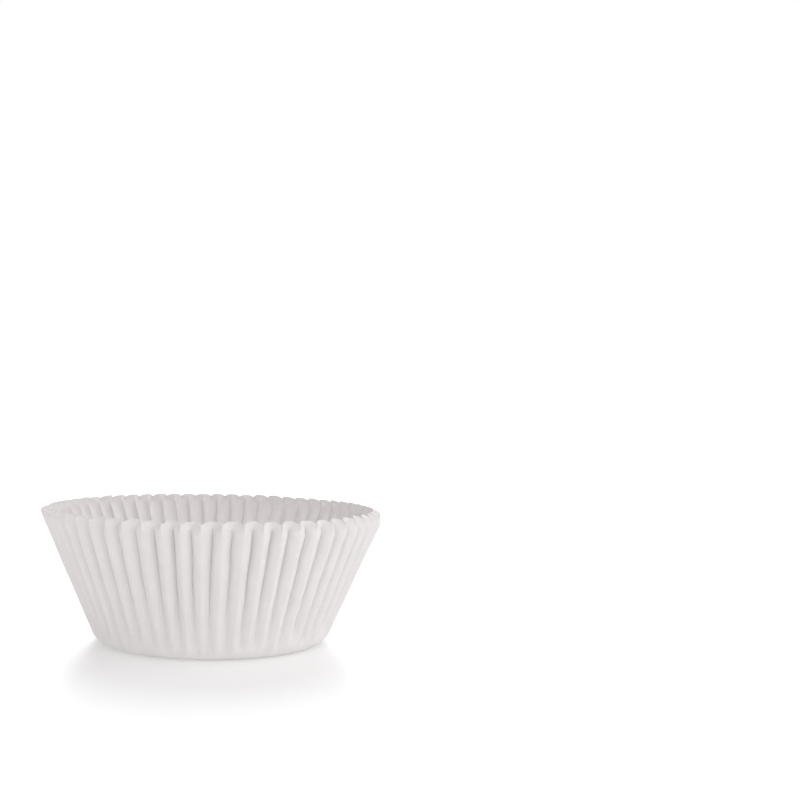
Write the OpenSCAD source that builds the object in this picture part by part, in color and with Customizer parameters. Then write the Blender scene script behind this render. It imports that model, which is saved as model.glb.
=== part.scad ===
// Pleated paper baking cup, standing on its flat base with the mouth up.
// Lengths in millimetres, +Z up, origin at the centre of the underside.
// Every point of the rim lies one wall length from the edge of the base, as on a round sheet
// of paper, so the outer creases, which lean out more, end lower than the inner folds.

/* [Cup] */
// Diameter of the base, measured where the wall would meet it without the round edge
base_d = 50.8; // [44:0.2:60]
// Length of the wall from there to the rim, in a straight line
wall_len = 31.75; // [26:0.25:40]
// Diameter over the outer creases at the rim
rim_d = 75.4; // [68:0.2:86]
// Outside radius of the round edge between base and wall
edge_r = 4.5; // [1.5:0.25:6]

/* [Pleats] */
// Number of pleats round the wall
pleat_count = 60; // [44:2:60]
// How far the inner folds lie inside the outer creases, at the rim
fold_depth = 2; // [1.2:0.1:2.4]
// How far the shoulders of a rib lie inside its crease, below the lip
shoulder_drop = 0.6; // [0.4:0.1:1]
// Bulge of a rib's two faces between crease and shoulder
rib_bulge = 0.06; // [0:0.02:0.2]
// Width of the groove between two ribs, at its mouth
groove_w = 1.5; // [0.8:0.05:1.8]
// Width of the fold at the bottom of the groove
fold_w = 0.3; // [0.2:0.05:0.5]

/* [Lip] */
// How much of the wall's length lies above the crease that runs round the ribs
lip_len = 2.6; // [1.6:0.1:5]
// Lean of the lip's creases from upright, in degrees
lip_lean = 12; // [4:1:24]
// How flat the rim's arcs are between two creases: 1 is a straight zigzag
arc_power = 2.5; // [1.5:0.1:3.5]

/* [Paper] */
// Thickness of the paper
paper = 0.1; // [0.06:0.02:0.16]

/* [Hidden] */

// Steps in the round edge, and how far the base sheet laps into the pleated ring
edge_steps = 3;
lap = 1.5;

pitch = 360 / pleat_count;
base_r = base_d / 2;
rim_r = rim_d / 2;
wall_run = wall_len - lip_len;
knee_r = rim_r - lip_len * sin(lip_lean);

// Where the flat base ends at the inner folds, which is its smallest radius
fold_lean = asin((knee_r - fold_depth - base_r) / wall_run);
flat_r = base_r - edge_r * tan((90 - fold_lean) / 2);
sheet_r = flat_r - lap;

// Half a pleat, from the crease of a rib to the fold of the groove beside it. Each entry is
// a share of the pleat's width and the inset from the crease at the foot of the lip.
rib_w = 2 * PI * knee_r / pleat_count;
mouth = 0.5 - groove_w / rib_w / 2;
bottom = 0.5 - fold_w / rib_w / 2;
half_pleat = [
    [0, 0],
    [mouth / 2, shoulder_drop / 2 - rib_bulge],
    [mouth, shoulder_drop],
    [bottom, fold_depth]
];
half_last = len(half_pleat) - 1;

// A whole pleat: the half and its mirror image
pleat = concat(
    half_pleat,
    [for (i = [half_last:-1:1]) [1 - half_pleat[i][0], half_pleat[i][1]]]
);
pleat_cols = len(pleat);
cols = pleat_count * pleat_cols;
rings = edge_steps + 4;

// At the rim the pleats open out: arcs between sharp creases. Position is 0 at one crease
// and 1 at the next, and the columns spread evenly over it.
function rim_position(i) = i / pleat_cols;
function rim_inset(t) = fold_depth * (1 - pow(abs(1 - 2 * t), arc_power));

// A point from its radius, its angle round the cup and its height
function polar(r, a, z) = [r * cos(a), r * sin(a), z];

// One column of the outer skin, from the inside edge of the pleated ring up to the rim
function column(k, i) =
    let (
        crease = -90 + pitch * (k + 0.5),
        a = crease + pitch * pleat[i][0],
        lean = asin((knee_r - pleat[i][1] - base_r) / wall_run),
        turn = 90 - lean,
        start = base_r - edge_r * tan(turn / 2),
        knee = knee_r - pleat[i][1],
        knee_z = wall_run * cos(lean),
        t = rim_position(i),
        top = rim_r - rim_inset(t)
    )
    [
        polar(sheet_r - lap, a, 0),
        for (s = [0:edge_steps])
            polar(start + edge_r * sin(turn * s / edge_steps), a, edge_r * (1 - cos(turn * s / edge_steps))),
        polar(knee, a, knee_z),
        polar(top, crease + pitch * t, sqrt(pow(wall_len, 2) - pow(top - base_r, 2)))
    ];

outer = [for (k = [0:pleat_count - 1]) for (i = [0:pleat_cols - 1]) column(k, i)];

function unit(v) = v / norm(v);

// Sum of the unit steps before and after a point of a line, or the one step at its end
function bend(before, here, after) =
    (before == undef ? unit(after - here) : unit(here - before))
    + (after == undef ? unit(here - before) : unit(after - here));

// The inner skin: each point moved in square to the paper, further where the paper turns.
// The first two rings lie in the base, so they stay level with the top of the base sheet.
function inner_point(c, s) =
    let (
        here = outer[c][s],
        round_step = bend(outer[(c + cols - 1) % cols][s], here, outer[(c + 1) % cols][s]),
        up_step = bend(outer[c][s - 1], here, outer[c][s + 1]),
        inward = unit(cross(up_step, round_step)),
        moved = here + inward * paper * (2 / norm(round_step)) * (2 / norm(up_step))
    )
    s == 0 ? [here[0], here[1], paper] : s == 1 ? [moved[0], moved[1], paper] : moved;

inner = [for (c = [0:cols - 1]) [for (s = [0:rings - 1]) inner_point(c, s)]];

// Two triangles for four corners, split along the diagonal that mirrors across a pleat
function split(a, b, c, d, rising) = rising ? [[a, b, c], [a, c, d]] : [[a, b, d], [b, c, d]];

// Pleated ring: both skins, closed along the rim and along the edge under the base sheet
module pleated_ring() {
    inner_start = cols * rings;
    function at(c, s) = (c % cols) * rings + s;
    points = [for (skin = [outer, inner]) for (line = skin) for (p = line) p];
    faces = [
        for (c = [0:cols - 1]) let (rising = c % pleat_cols <= half_last) each [
            for (s = [0:rings - 2]) each split(
                at(c, s), at(c, s + 1), at(c + 1, s + 1), at(c + 1, s), rising),
            for (s = [0:rings - 2]) each split(
                inner_start + at(c + 1, s), inner_start + at(c + 1, s + 1),
                inner_start + at(c, s + 1), inner_start + at(c, s), !rising),
            each split(at(c, rings - 1), inner_start + at(c, rings - 1),
                inner_start + at(c + 1, rings - 1), at(c + 1, rings - 1), rising),
            each split(at(c + 1, 0), inner_start + at(c + 1, 0),
                inner_start + at(c, 0), at(c, 0), rising)
        ]
    ];
    polyhedron(points, faces, convexity = 10);
}

// Plain round sheet of the base, flush with the ring above and below
module base_sheet() {
    cylinder(r = sheet_r, h = paper, $fn = 96);
}

module liner() {
    color("whitesmoke") union() {
        pleated_ring();
        base_sheet();
    }
}

liner();
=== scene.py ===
import math

import bpy
import numpy as np
from mathutils import Matrix


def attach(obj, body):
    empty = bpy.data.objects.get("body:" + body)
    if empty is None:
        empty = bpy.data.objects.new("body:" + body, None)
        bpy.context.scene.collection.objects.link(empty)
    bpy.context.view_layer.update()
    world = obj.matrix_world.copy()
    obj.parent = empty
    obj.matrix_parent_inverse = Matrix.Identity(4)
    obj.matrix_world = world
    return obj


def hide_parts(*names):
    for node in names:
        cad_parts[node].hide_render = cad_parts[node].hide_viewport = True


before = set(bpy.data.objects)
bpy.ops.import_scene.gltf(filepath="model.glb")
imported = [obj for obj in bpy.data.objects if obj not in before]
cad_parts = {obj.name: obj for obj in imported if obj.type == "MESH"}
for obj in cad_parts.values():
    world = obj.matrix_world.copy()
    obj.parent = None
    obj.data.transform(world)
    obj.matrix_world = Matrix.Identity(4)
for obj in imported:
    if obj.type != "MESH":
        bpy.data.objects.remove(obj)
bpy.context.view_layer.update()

# A pleated paper baking cup: one round sheet, pressed between two fluted dies.
# Lengths are millimetres until they go into a mesh. Directions round the cup are in degrees,
# with its right side at 0 and its front at -90.
MM = 0.001
FRONT = -90

# The cup, with the same driving sizes as the solid part
BASE_D = 50.8
WALL_LEN = 31.75
RIM_D = 75.4
EDGE_R = 4.5
PLEATS = 60
LIP_LEN = 2.6
PAPER = 0.1

# How far the rim's arcs reach in from the outer creases, and how flat they are between them
RIM_DEPTH = 1.9
ARC_POWER = 3.2

# Width of a groove's mouth, at the foot of the lip and at the base. The groove narrows to a
# throat, and below the throat the paper is pinched into a slit that ends in a fold.
MOUTH_HIGH, MOUTH_LOW = 1.3, 1.15
THROAT_W = 0.35
SLIT_DEPTH = 0.45
FOLD_W = 0.03

# How much of the spare paper a groove takes up: over 1, because damp paper stretches in the press
GATHER_HIGH, GATHER_LOW = 1.15, 2.2

# How far a rib's shoulders lie behind its crease, at the foot of the lip and at the base
SHOULDER_HIGH, SHOULDER_LOW = 0.6, 0.45

# Rounding of the rib's crease, of its shoulders and of the throat: how far from the corner the
# curve starts, and the largest share of a side that it may take
CREASE_ROUND, SHOULDER_ROUND, THROAT_ROUND = 0.3, 0.3, 0.12
MOST_ROUND = 0.45

# How far a rib's faces bulge, as a share of their drop from crease to shoulder
FACE_BULGE = 0.08

# How the grooves change up the lip: how much wider and by what share shallower they get, and
# how late they open into the rim's arcs, where 1 is evenly
LIP_MOUTH = 0.2
LIP_SHALLOW = 0.5
LIP_OPENING = 2.2

# The slit up the wall and the shallower grooves up the lip change this much faster than evenly,
# and are done after two thirds of the way
EARLY = 1.5

# The lip stands nearly upright on the cup's right and follows the wall on its left, in degrees
LIP_LEAN = 12.0
LIP_LEAN_SWING = 9.0

# The bead that the die's edge leaves round the ribs at the foot of the lip, and how far behind
# a rib's crease it has faded out
BEAD_H = 0.05
BEAD_HALF_W = 0.22
BEAD_REACH = 1.3 * SHOULDER_HIGH

# By what share the pleats stand wider apart in front than evenly, and closer behind
SPREAD_RIM, SPREAD_BASE = 0.05, 0.12

# How unlike each other the pleats are. A pair is the usual spread and the most that one gets:
# turn of a crease in degrees, share by which a groove or an arc is deeper, power of an arc,
# and share by which a rib's two shoulders differ from their usual drop
SEED = 11
CREASE_TURN = 0.2, 0.45
GROOVE_DEPTH_SWING = 0.07, 0.15
ARC_DEPTH_SWING = 0.07, 0.12
ARC_POWER_SWING = 0.3, 0.6
SHOULDER_TILT = 0.16, 0.3

# Between which two places a pleat starts, and how far it goes until it is full, along the paper
# from the foot of the wall. Below zero is in the round edge.
PLEAT_START = -3.4, 1.0
PLEAT_RISE = 2.6

# Slow random waves up the wall: how deep they dent a crease, and how far they move a groove as
# a share of its pleat, how many waves each is made of, turns of the longest over the whole
# height, and the share of that height that the lip counts for
DENT = 0.05
DENT_WAVES = 4
GROOVE_WANDER = 0.02
WANDER_WAVES = 5
WAVE_TURNS = 0.7
LIP_SHARE = 0.1

# The base's slight waves: their height, the length of the broad and of the fine ones in x and y
# over 2 pi, where the broad ones start, and how high the fine ones are beside them
BASE_WAVE_H = 0.12
BROAD_WAVE = 5.1, 4.3
BROAD_START = 1.3, 0.4
FINE_WAVE = 2.9, 3.7
FINE_SHARE = 0.6

# Rings of the mesh up the round edge, the foot of the wall, the wall and the lip, and in the base
EDGE_RINGS = 8
FOOT_RINGS = 6
FOOT_LEN = 6.0
WALL_RINGS = 11
LIP_RINGS = 9
BASE_RINGS = 9

# Steps of the mesh over a rib's crease, a shoulder and a throat, and points that measure an arc
CREASE_STEPS, SHOULDER_STEPS, THROAT_STEPS = 4, 3, 1
ARC_POINTS = 161

# Faces that meet at more than this angle show a sharp edge between them
SHARP_ANGLE = 50

rng = np.random.default_rng(SEED)


def scatter(spread, most, shape=None):
    """Random numbers about 0 with the given spread, and none of them beyond the most."""
    return np.clip(rng.normal(0, spread, shape), -most, most)


def smooth(t):
    """Eases a share from 0 to 1."""
    t = np.clip(t, 0, 1)
    return t * t * (3 - 2 * t)


def cut_back(side, size):
    """A step along one side of a corner, which leaves room for the next corner's step."""
    length = np.linalg.norm(side, axis=-1, keepdims=True)
    return side / length * np.minimum(size, MOST_ROUND * length)


def rounded(corners, sizes, steps):
    """A line through the corners, each inner one rounded off in some steps or left sharp with none.
    Each corner may be a whole grid of them."""
    line = [corners[0]]
    for before, here, after, size, count in zip(corners, corners[1:], corners[2:], sizes, steps):
        if count == 0:
            line.append(here)
            continue
        start = here + cut_back(before - here, size)
        end = here + cut_back(after - here, size)
        for t in np.linspace(0, 1, count + 1):
            line.append((1 - t) ** 2 * start + 2 * t * (1 - t) * here + t * t * end)
    line.append(corners[-1])
    return np.array(line)


def share_along(line):
    """Each point's share of the way along a line of (x, y) points."""
    steps = np.linalg.norm(np.diff(line, axis=0), axis=-1)
    return np.concatenate([[0], np.cumsum(steps)]) / steps.sum()


def slow_waves(places, waves):
    """A smooth random line for each pleat, about 1 high, at the given places from 0 to 1."""
    height = rng.normal(0, 1, (PLEATS, waves))
    shift = rng.uniform(0, 2 * math.pi, (PLEATS, waves))
    n = np.arange(1, waves + 1)
    turns = 2 * math.pi * places[None, :, None] * n * WAVE_TURNS + shift[:, None, :]
    return (np.sin(turns) * height[:, None, :] / n ** 0.5).sum(axis=2)


class Profile:
    """The line of the outer creases, from the flat base up to the rim, ring by ring."""

    def __init__(self):
        self.knee_r = RIM_D / 2 - LIP_LEN * math.sin(math.radians(LIP_LEAN))
        wall_run = WALL_LEN - LIP_LEN
        self.lean = math.asin((self.knee_r - BASE_D / 2) / wall_run)
        turn = math.pi / 2 - self.lean
        reach = EDGE_R * math.tan(turn / 2)
        start = BASE_D / 2 - reach
        bends = np.linspace(0, turn, EDGE_RINGS + 1)
        foot = np.linspace(0, FOOT_LEN, FOOT_RINGS + 1)[1:]
        wall = np.linspace(FOOT_LEN, wall_run - reach, WALL_RINGS + 1)[1:]
        straight = np.concatenate([foot, wall])
        run = reach + straight
        lip = np.linspace(0, 1, LIP_RINGS + 1)[1:]

        # radius, height and tilt from upright, below the lip
        edge_r, edge_z = start + EDGE_R * np.sin(bends), EDGE_R * (1 - np.cos(bends))
        self.r = np.concatenate([edge_r, BASE_D / 2 + run * math.sin(self.lean)])
        self.z = np.concatenate([edge_z, run * math.cos(self.lean)])
        self.tilt = np.concatenate([math.pi / 2 - bends, np.full(len(straight), self.lean)])

        # length of paper up from the foot of the wall, and the share of the wall and of the lip
        edge_run, lip_run = EDGE_R * (bends - turn), straight[-1] + LIP_LEN * lip
        self.run = np.concatenate([edge_run, straight, lip_run])
        self.up = np.clip(self.run / straight[-1], 0, 1)
        self.lip = np.concatenate([np.zeros(len(self.r)), lip])

        # radius in the flat sheet, and in the cup with the same lip all round
        self.flat_r = start + EDGE_R * turn + self.run
        lip_r = self.knee_r + LIP_LEN * lip * math.sin(math.radians(LIP_LEAN))
        self.cup_r = np.concatenate([self.r, lip_r])


def pleat_sections(line):
    """Place across and inset from the crease for each pleat's points at each ring.
    The paper that the wall has too much, because it comes from a flat disc, fills the grooves."""
    grid = np.ones((PLEATS, len(line.run)))
    width = 2 * math.pi * line.cup_r / PLEATS * grid
    mouth = (MOUTH_LOW + (MOUTH_HIGH - MOUTH_LOW) * line.up + LIP_MOUTH * line.lip) * grid
    slit = SLIT_DEPTH * smooth(line.up * EARLY) * (1 - line.lip) * grid
    pleat_start = rng.uniform(*PLEAT_START, (PLEATS, 1))
    risen = smooth((line.run - pleat_start) / PLEAT_RISE)
    depth_share = (1 + scatter(*GROOVE_DEPTH_SWING, (PLEATS, 1))) * risen
    depth_share = depth_share * (1 - LIP_SHALLOW * smooth(line.lip * EARLY))
    drop = (SHOULDER_LOW + (SHOULDER_HIGH - SHOULDER_LOW) * line.up) * risen
    tilt = scatter(*SHOULDER_TILT, PLEATS)
    gather = GATHER_LOW + (GATHER_HIGH - GATHER_LOW) * line.up
    spare = 2 * math.pi * (line.flat_r - line.cup_r) / PLEATS * gather
    face = (width - mouth) / 2
    spare_groove = spare - 2 * (np.hypot(face, drop) - face)
    side_across = (mouth - THROAT_W) / 2
    side_len = (spare_groove + mouth - THROAT_W) / 2 - slit
    depth = np.sqrt(np.maximum(side_len ** 2 - side_across ** 2, 0)) * depth_share

    def half(shoulder):
        """From the rib's crease to the middle of the groove beside it."""
        crease = np.zeros_like(shoulder)
        throat = shoulder + depth
        fold = throat + slit
        corners = [
            (-face / 2, shoulder / 2), (crease, crease),
            (face / 2, shoulder / 2 - FACE_BULGE * shoulder), (face, shoulder),
            (width / 2 - THROAT_W / 2, throat), (width / 2 - FOLD_W / 2, fold), (width / 2, fold),
        ]
        corners = [np.stack(np.broadcast_arrays(x, y), axis=-1) for x, y in corners]
        sizes = [CREASE_ROUND, 0, SHOULDER_ROUND, THROAT_ROUND, 0]
        steps = [CREASE_STEPS, 0, SHOULDER_STEPS, THROAT_STEPS, 0]
        # the first corner, on the rib's other face, only shapes the crease
        return rounded(corners, sizes, steps)[1 + CREASE_STEPS // 2:]

    # a rib's left and right shoulders differ by its tilt, and both halves end in one fold
    here, after = tilt[:, None], np.roll(tilt, -1)[:, None]
    left = half(drop * (1 + here))
    right = half(drop * (1 - after))
    left[-1, ..., 1] = (left[-1, ..., 1] + right[-1, ..., 1]) / 2
    left[..., 0] /= width
    right[..., 0] = 1 - right[..., 0] / width
    return np.concatenate([left, right[-2:0:-1]]), width


def rim_arcs(sections, width):
    """Place across and inset at the rim, where the paper between two creases opens into a flat
    arc. Each point lies as far along the paper as it does at the foot of the lip."""
    arcs = []
    for k in range(PLEATS):
        knee = sections[:, k, -LIP_RINGS - 1, :] * [width[k, -1], 1]
        close = np.vstack([knee, [width[k, -1], 0]])
        t = np.linspace(0, 1, ARC_POINTS)
        power = ARC_POWER + scatter(*ARC_POWER_SWING)
        inset = RIM_DEPTH * (1 + scatter(*ARC_DEPTH_SWING))
        inset = inset * (1 - np.abs(1 - 2 * t) ** power)
        arc = np.stack([t * math.pi * RIM_D / PLEATS, inset], axis=1)
        share, along = share_along(close)[:-1], share_along(arc)
        arcs.append(np.stack([np.interp(share, along, t), np.interp(share, along, inset)], 1))
    return np.array(arcs).transpose(1, 0, 2)


def wall_points():
    """The outer skin as a grid, with a row for each column of points round the cup, and how many
    columns a pleat has. Each row goes from the base up to the rim."""
    line = Profile()
    sections, width = pleat_sections(line)
    rim = rim_arcs(sections, width)
    cols = len(sections)
    opening = line.lip[:, None] ** LIP_OPENING
    grid = sections + (rim[:, :, None, :] - sections) * opening
    across, inset = grid[..., 0], grid[..., 1]

    # dents, where each half of a pleat follows the crease at its end, and the bead
    height = line.up * (1 - LIP_SHARE) + LIP_SHARE * line.lip
    dents = slow_waves(height, DENT_WAVES) * line.up
    nearer = np.where(across < 0.5, dents, np.roll(dents, -1, axis=0))
    near_crease = np.cos(math.pi * across) ** 2
    bead = np.exp(-((line.run - (line.run[-1] - LIP_LEN)) / BEAD_HALF_W) ** 2) * BEAD_H
    on_rib = 1 - smooth(inset / BEAD_REACH)
    inset = inset + DENT * nearer * near_crease - bead * on_rib

    # the angle of each point round the cup
    wander = slow_waves(height, WANDER_WAVES) * GROOVE_WANDER * line.up
    crease = scatter(*CREASE_TURN, PLEATS)
    pitch = 360 / PLEATS
    first = FRONT + pitch * (np.arange(PLEATS) + 0.5) + crease
    step = pitch + np.roll(crease, -1) - crease
    place = across + wander * np.sin(math.pi * across) ** 2
    angle = np.radians(first[:, None] + step[:, None] * place)
    spread = SPREAD_BASE + (SPREAD_RIM - SPREAD_BASE) * height
    angle = angle + spread * np.sin(angle - math.radians(FRONT))

    # the creases' line, with a lip that leans more or less round the cup
    walls = len(line.r)
    lip_angle, lip = angle[..., walls:], line.lip[walls:]
    lean = np.radians(LIP_LEAN - LIP_LEAN_SWING * np.cos(lip_angle))
    below = np.ones(across.shape[:2] + (walls,))
    r = np.concatenate([line.r * below, line.knee_r + LIP_LEN * lip * np.sin(lean)], axis=2)
    z = np.concatenate([line.z * below, line.z[-1] + LIP_LEN * lip * np.cos(lean)], axis=2)

    # all the rim lies one wall length from the base's edge, so a point further in is higher
    tilt = np.concatenate([line.tilt * below, np.full_like(lean, line.lean)], axis=2)
    r = r - inset * np.cos(tilt)
    z = z + inset * np.sin(tilt)
    points = np.stack([r * np.cos(angle), r * np.sin(angle), z], axis=-1)
    return points.transpose(1, 0, 2, 3).reshape(PLEATS * cols, -1, 3), cols


def base_height(x, y):
    """The base's slight waves. It stands on their low parts."""
    broad = np.sin(x / BROAD_WAVE[0] + BROAD_START[0]) * np.sin(y / BROAD_WAVE[1] + BROAD_START[1])
    wave = broad + FINE_SHARE * np.sin(x / FINE_WAVE[0] - y / FINE_WAVE[1])
    most = 1 + FINE_SHARE
    flat_end = BASE_D / 2 - EDGE_R
    return BASE_WAVE_H * (0.5 + wave / (2 * most)) * smooth(1 - np.hypot(x, y) / flat_end)


def cup_skin():
    """Points and faces of the cup's outer skin: the pleated wall and the flat base."""
    points, per_pleat = wall_points()
    count, rings, _ = points.shape
    verts = [tuple(p) for p in points.reshape(-1, 3)]
    faces = []
    for c in range(count):
        d = (c + 1) % count
        for s in range(rings - 1):
            faces.append((c * rings + s, d * rings + s, d * rings + s + 1, c * rings + s + 1))
    # many-sided faces take the wall's columns down to one spoke of the base for each pleat
    first = len(verts)
    for share in np.linspace(1, 0, BASE_RINGS + 2)[1:-1]:
        for k in range(PLEATS):
            x, y = points[k * per_pleat, 0, :2] * share
            verts.append((x, y, base_height(x, y)))
    for k in range(PLEATS):
        after = (k + 1) % PLEATS
        edge = [((k * per_pleat + n) % count) * rings for n in range(per_pleat + 1)]
        faces.append(tuple(reversed(edge)) + (first + k, first + after))
    for ring in range(BASE_RINGS - 1):
        low, high = first + ring * PLEATS, first + (ring + 1) * PLEATS
        for k in range(PLEATS):
            after = (k + 1) % PLEATS
            faces.append((low + after, low + k, high + k, high + after))
    last, middle = len(verts) - PLEATS, len(verts)
    verts.append((0, 0, base_height(0, 0)))
    for k in range(PLEATS):
        faces.append((last + (k + 1) % PLEATS, last + k, middle))
    return verts, faces


def pressed_sheet(name):
    """The whole cup as one thin sheet, with the paper's thickness on its inner side."""
    verts, faces = cup_skin()
    skin = bpy.data.meshes.new(name)
    skin.from_pydata([tuple(v * MM for v in p) for p in verts], [], faces)
    skin.validate()
    piece = bpy.data.objects.new(name, skin)
    bpy.context.collection.objects.link(piece)
    thick = piece.modifiers.new("paper thickness", "SOLIDIFY")
    thick.thickness = PAPER * MM
    thick.offset = -1
    thick.use_quality_normals = True
    graph = bpy.context.evaluated_depsgraph_get()
    sheet = bpy.data.meshes.new_from_object(piece.evaluated_get(graph))
    piece.modifiers.clear()
    piece.data = sheet
    bpy.data.meshes.remove(skin)
    sheet.name = name
    sheet.shade_smooth()
    sheet.set_sharp_from_angle(angle=math.radians(SHARP_ANGLE))
    return piece


WHITE = (1, 1, 1, 1)


def linear(hex_colour):
    """An sRGB hex colour as linear RGBA."""
    parts = [int(hex_colour[i:i + 2], 16) / 255 for i in (1, 3, 5)]
    return [c / 12.92 if c <= 0.04045 else ((c + 0.055) / 1.055) ** 2.4 for c in parts] + [1]


def add(tree, kind, settings=None, **links):
    """Adds a node with its settings and its inputs, which are values or other nodes' outputs.
    An input is named, with _ for a space, or numbered as i0, i1 and so on."""
    node = tree.nodes.new(kind)
    for key, value in (settings or {}).items():
        setattr(node, key, value)
    for key, value in links.items():
        by_number = key[0] == "i" and key[1:].isdigit()
        socket = node.inputs[int(key[1:]) if by_number else key.replace("_", " ")]
        if isinstance(value, bpy.types.NodeSocket):
            tree.links.new(value, socket)
        else:
            socket.default_value = value
    return node


def new_material(name):
    """An empty material and its node tree."""
    material = bpy.data.materials.new(name)
    material.use_nodes = True
    material.node_tree.nodes.clear()
    return material, material.node_tree


# The paper: its two tones, the width of the pulp's clouds and of its fibres, how far the fibres
# stand out, and the share of what it returns that comes out on its far side
PAPER_TONES = "#efecec", "#f4f2f1"
CLOUD_W = 3.0
FIBRE_W = 0.5
FIBRE_H = 0.03
FIBRE_STRENGTH = 0.25
PAPER_ROUGHNESS = 0.6
PAPER_IOR = 1.5
PAPER_SHEEN = 0.1
LIGHT_THROUGH = 0.4


def greaseproof_paper():
    """Pressed greaseproof paper: thin white paper with a faint sheen. Much of the light passes
    through it, which keeps the grooves pale, and the pulp shows as soft clouds a few millimetres
    wide with fibres in them. The real fibres are finer, and are drawn as coarse as can be seen."""
    material, tree = new_material("pressed greaseproof paper")
    place = add(tree, "ShaderNodeTexCoord").outputs["Object"]
    cloud = add(tree, "ShaderNodeTexNoise", Vector=place, Scale=1 / (CLOUD_W * MM),
                Detail=3.0, Roughness=0.55)
    fibre = add(tree, "ShaderNodeTexNoise", Vector=place, Scale=1 / (FIBRE_W * MM),
                Detail=4.0, Roughness=0.65)
    tone = add(tree, "ShaderNodeMix", {"data_type": "RGBA"}, Factor=cloud.outputs["Fac"])
    tone.inputs["A"].default_value = linear(PAPER_TONES[0])
    tone.inputs["B"].default_value = linear(PAPER_TONES[1])
    colour = tone.outputs["Result"]
    bump = add(tree, "ShaderNodeBump", Strength=FIBRE_STRENGTH, Distance=FIBRE_H * MM,
               Height=fibre.outputs["Fac"]).outputs["Normal"]
    paper = add(tree, "ShaderNodeBsdfPrincipled", Base_Color=colour, Roughness=PAPER_ROUGHNESS,
                IOR=PAPER_IOR, Normal=bump)
    paper.inputs["Sheen Weight"].default_value = PAPER_SHEEN
    through = add(tree, "ShaderNodeBsdfTranslucent", Color=colour, Normal=bump)
    mix = add(tree, "ShaderNodeMixShader", Fac=LIGHT_THROUGH, i1=paper.outputs[0],
              i2=through.outputs[0])
    add(tree, "ShaderNodeOutputMaterial", Surface=mix.outputs[0])
    return material


# The light table: its size and how far it lies under the cup, in metres, its colour and glow,
# and the roughness and IOR of its polish
FLOOR_SIZE = 20.0
FLOOR_GAP = 0.00002
FLOOR_COLOUR = "#dcdcdc"
FLOOR_GLOW = 0.28
FLOOR_ROUGHNESS = 0.35
FLOOR_IOR = 1.45


def white_floor():
    """A glowing light table under the cup: opal white, with the cup's soft shadow on it and a
    faint blurred reflection."""
    material, tree = new_material("light table")
    matt = add(tree, "ShaderNodeBsdfDiffuse", Color=linear(FLOOR_COLOUR))
    glow = add(tree, "ShaderNodeEmission", Color=WHITE, Strength=FLOOR_GLOW)
    opal = add(tree, "ShaderNodeAddShader", i0=matt.outputs[0], i1=glow.outputs[0])
    polish = add(tree, "ShaderNodeBsdfGlossy", Color=WHITE, Roughness=FLOOR_ROUGHNESS)
    grazing = add(tree, "ShaderNodeFresnel", IOR=FLOOR_IOR)
    table = add(tree, "ShaderNodeMixShader", i0=grazing.outputs[0], i1=opal.outputs[0],
                i2=polish.outputs[0])
    add(tree, "ShaderNodeOutputMaterial", Surface=table.outputs[0])
    bpy.ops.mesh.primitive_plane_add(size=FLOOR_SIZE)
    floor = bpy.context.object
    floor.name = "floor"
    floor.location.z = -FLOOR_GAP
    floor.data.materials.append(material)


# How bright the surroundings are at the horizon, and how that rises to the right, to the back
# and overhead
SKY_MEAN = 0.4
SKY_SLOPE = (0.06, 0.0, 0.2)


def seen(tree):
    """1 for what the camera or a reflection sees, and 0 for light that falls on the cup. What
    shines through the paper comes as transmission rays, so these count as light too."""
    rays = add(tree, "ShaderNodeLightPath")
    return add(tree, "ShaderNodeMath", {"operation": "MAXIMUM"}, i0=rays.outputs["Is Camera Ray"],
               i1=rays.outputs["Is Glossy Ray"]).outputs[0]


def studio_world():
    """White surroundings, brighter overhead and on the right, which the camera sees as white."""
    world = bpy.data.worlds.new("white studio")
    bpy.context.scene.world = world
    world.use_nodes = True
    tree = world.node_tree
    tree.nodes.clear()
    direction = add(tree, "ShaderNodeTexCoord").outputs["Generated"]
    slope = add(tree, "ShaderNodeVectorMath", {"operation": "DOT_PRODUCT"}, i0=direction,
                i1=SKY_SLOPE)
    light = add(tree, "ShaderNodeMath", {"operation": "ADD"}, i0=slope.outputs["Value"],
                i1=SKY_MEAN)
    strength = add(tree, "ShaderNodeMix", {"data_type": "FLOAT"}, Factor=seen(tree))
    tree.links.new(light.outputs[0], strength.inputs["A"])
    strength.inputs["B"].default_value = 1.0
    sky = add(tree, "ShaderNodeBackground", Color=WHITE, Strength=strength.outputs["Result"])
    add(tree, "ShaderNodeOutputWorld", Surface=sky.outputs[0])


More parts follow.
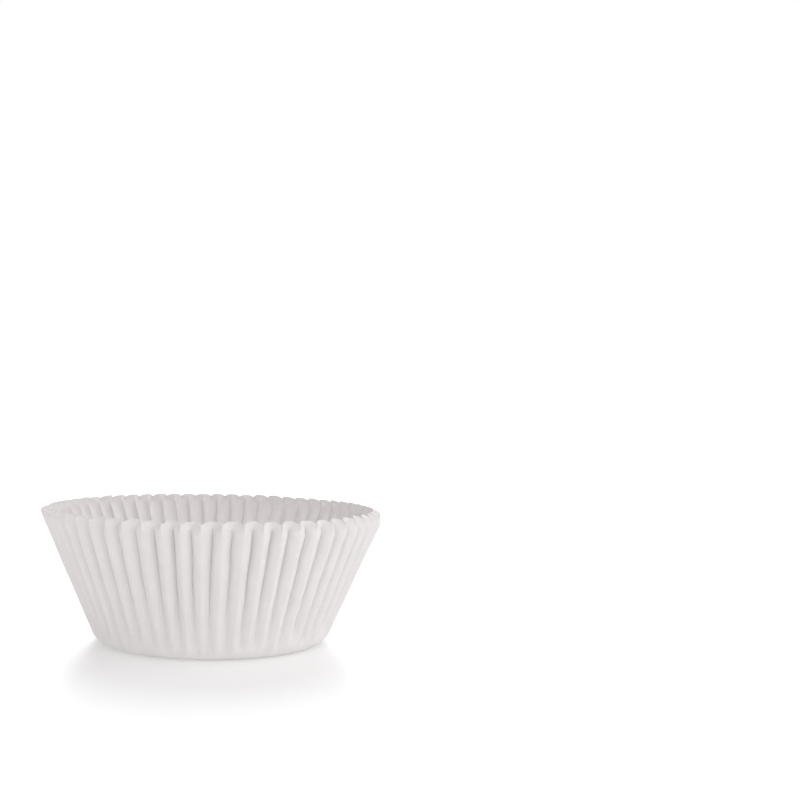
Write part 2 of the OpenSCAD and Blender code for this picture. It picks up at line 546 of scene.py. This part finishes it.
# The softboxes: direction round the cup from its front, with 90 on its right, height over the
# floor and width, all in degrees, and the brightness of a white surface that faces one
SOFTBOXES = {
    "right softbox": (80, 25, 70, 0.38),
    "left softbox": (-80, 25, 70, 0.05),
    "back softbox": (180, 45, 50, 0.38),
    "front softbox": (5, 38, 40, 0.17),
}


def softbox(name, direction, height, width, brightness):
    """A wide distant lamp."""
    lamp = bpy.data.lights.new(name, "SUN")
    lamp.angle = math.radians(width)
    lamp.energy = brightness * math.pi
    holder = bpy.data.objects.new(name, lamp)
    bpy.context.collection.objects.link(holder)
    holder.rotation_euler = (math.radians(90 - height), 0, math.radians(direction))


# The camera: focal length and frame in pixels, sensor in millimetres, and where the camera
# stands and which way it looks, in metres and degrees
PICTURE_W = 800
FOCAL_PX = 1300
SENSOR_W = 36.0
CAMERA_NEAR = 0.01
CAMERA_DISTANCE = 0.3009
CAMERA_AZIMUTH = 0.77
CAMERA_ELEVATION = 10.67
CAMERA_YAW = 7.94
CAMERA_PITCH = -0.13
CAMERA_ROLL = 1.62


def camera():
    """The camera, which looks past the cup's right side, so the cup stands low on the left."""
    view = bpy.data.cameras.new("camera")
    view.sensor_width = SENSOR_W
    view.lens = SENSOR_W * FOCAL_PX / PICTURE_W
    view.clip_start = CAMERA_NEAR
    holder = bpy.data.objects.new("camera", view)
    bpy.context.collection.objects.link(holder)
    e = math.radians(CAMERA_ELEVATION)
    place = Matrix.Translation((0, -CAMERA_DISTANCE * math.cos(e), CAMERA_DISTANCE * math.sin(e)))
    aim = (Matrix.Rotation(-math.radians(CAMERA_YAW), 4, "Z")
           @ Matrix.Rotation(math.pi / 2 + math.radians(CAMERA_PITCH), 4, "X")
           @ Matrix.Rotation(math.radians(CAMERA_ROLL), 4, "Z"))
    holder.matrix_world = Matrix.Rotation(math.radians(CAMERA_AZIMUTH), 4, "Z") @ place @ aim
    bpy.context.scene.camera = holder


bpy.context.scene.view_settings.view_transform = "Standard"
camera()
studio_world()
for name, settings in SOFTBOXES.items():
    softbox(name, *settings)
white_floor()

liner = pressed_sheet("liner_paper")
liner.data.materials.append(greaseproof_paper())
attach(liner, "root")
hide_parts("liner")
